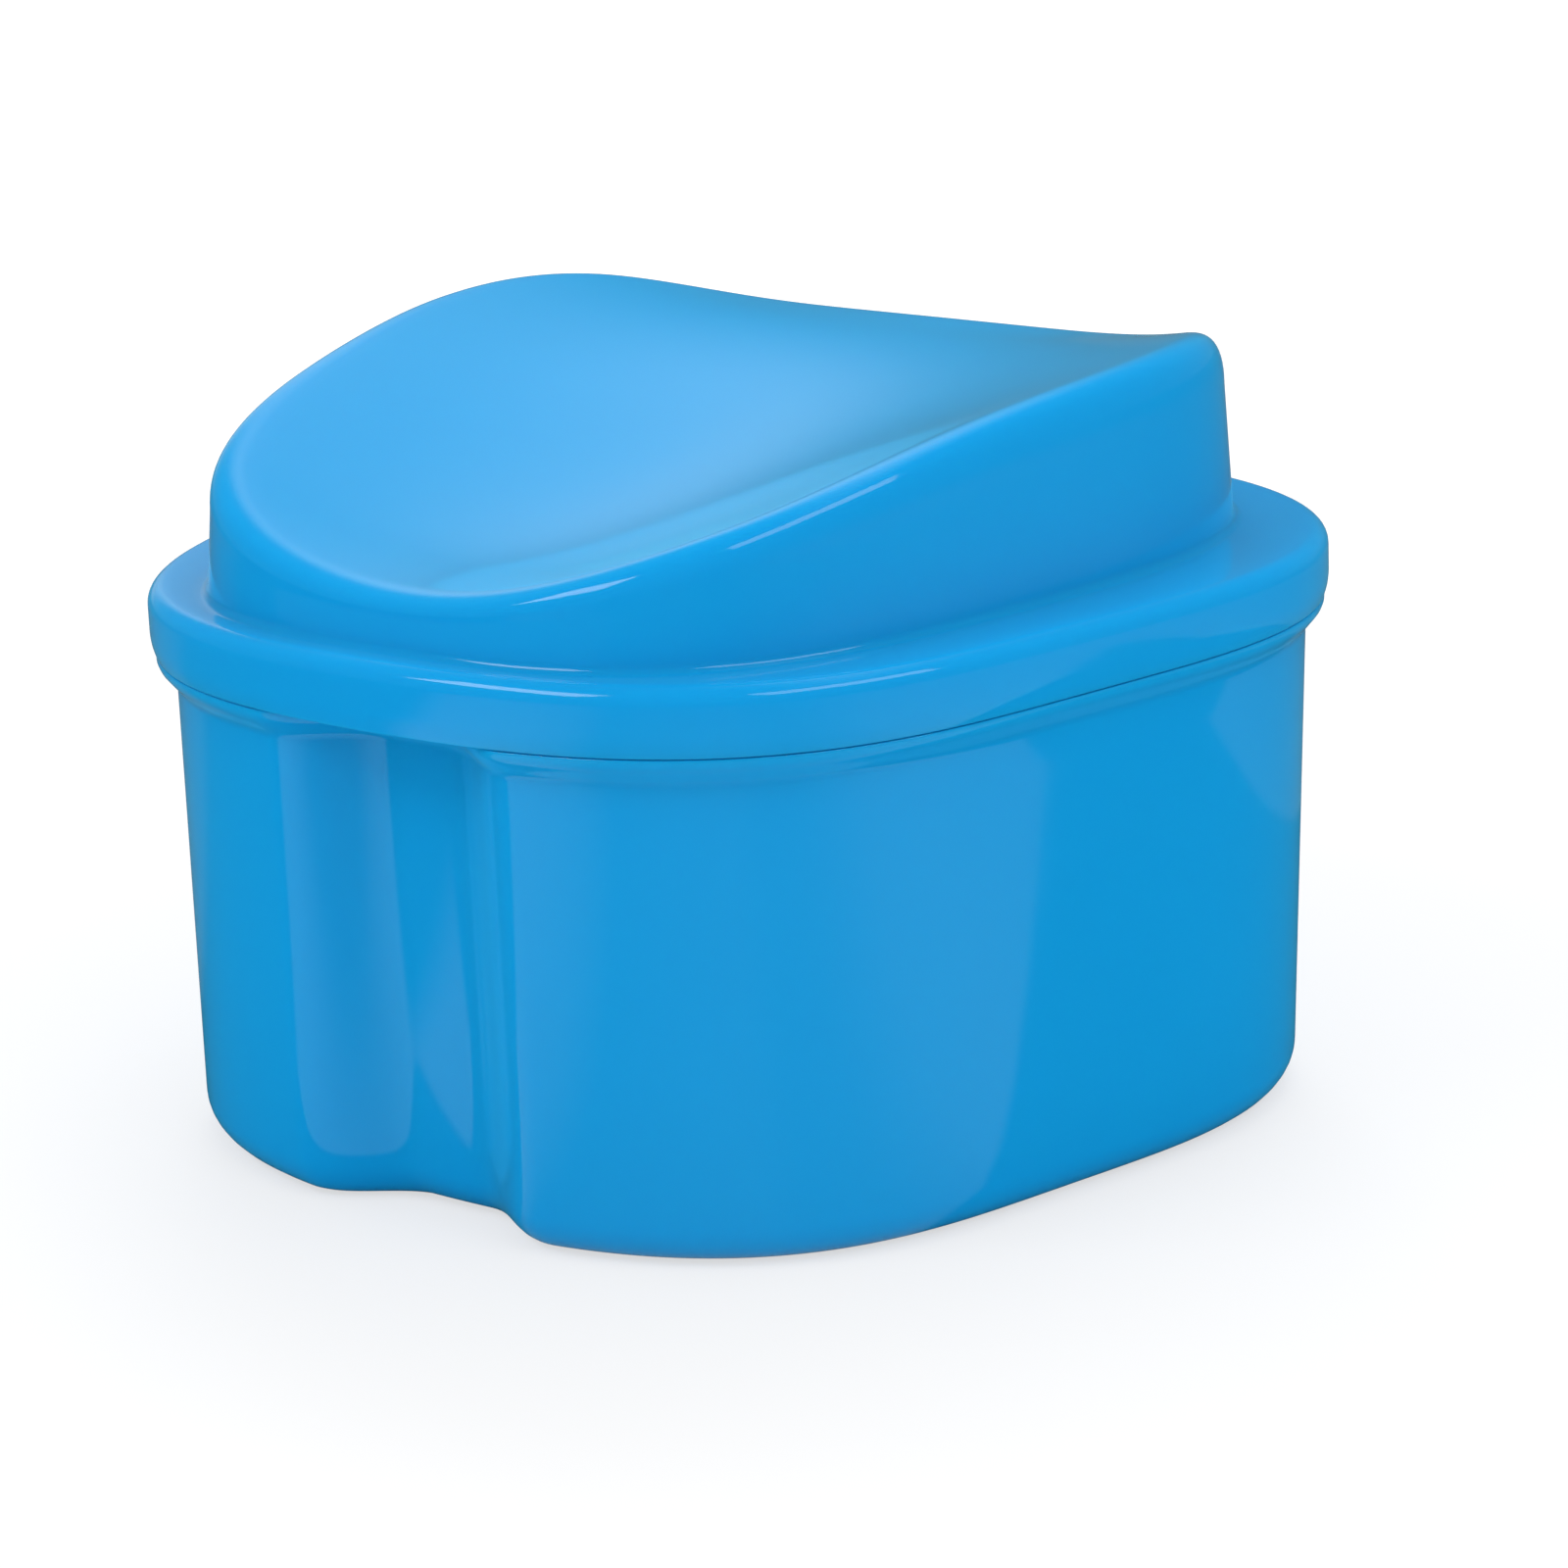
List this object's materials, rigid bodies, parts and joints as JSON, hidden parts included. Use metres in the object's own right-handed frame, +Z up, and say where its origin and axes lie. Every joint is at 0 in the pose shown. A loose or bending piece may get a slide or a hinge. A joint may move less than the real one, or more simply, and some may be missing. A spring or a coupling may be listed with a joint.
{
  "type": "denture case",
  "caption": "Denture bath: smooth rounded tub with a thumb notch, a perforated basket that lifts out, and a domed lift-off lid.",
  "frame": {"origin": "centre of the case's bounding box, on the surface it stands on", "axes": "+X across the case, the longest extent; +Y from the thumb notch at the front to the back; +Z up, the shortest extent"},
  "size_m": [0.095, 0.09, 0.065],
  "materials": {
    "tub_plastic": "gloss",
    "basket_plastic": "gloss",
    "lid_plastic": "gloss"
  },
  "bodies": {
    "tub": {"base_tub": "tub_plastic"},
    "basket": {"basket_wall": "basket_plastic", "basket_floor": "basket_plastic"},
    "lid": {"lid": "lid_plastic"}
  },
  "joints": [
    {"name": "basket_lift", "type": "slide", "parent": "tub", "child": "basket", "axis": [0, 0, 1], "range_m": [0, 0.055]},
    {"name": "lid_lift", "type": "slide", "parent": "basket", "child": "lid", "axis": [0, 0, 1], "range_m": [0, 0.045]}
  ]
}
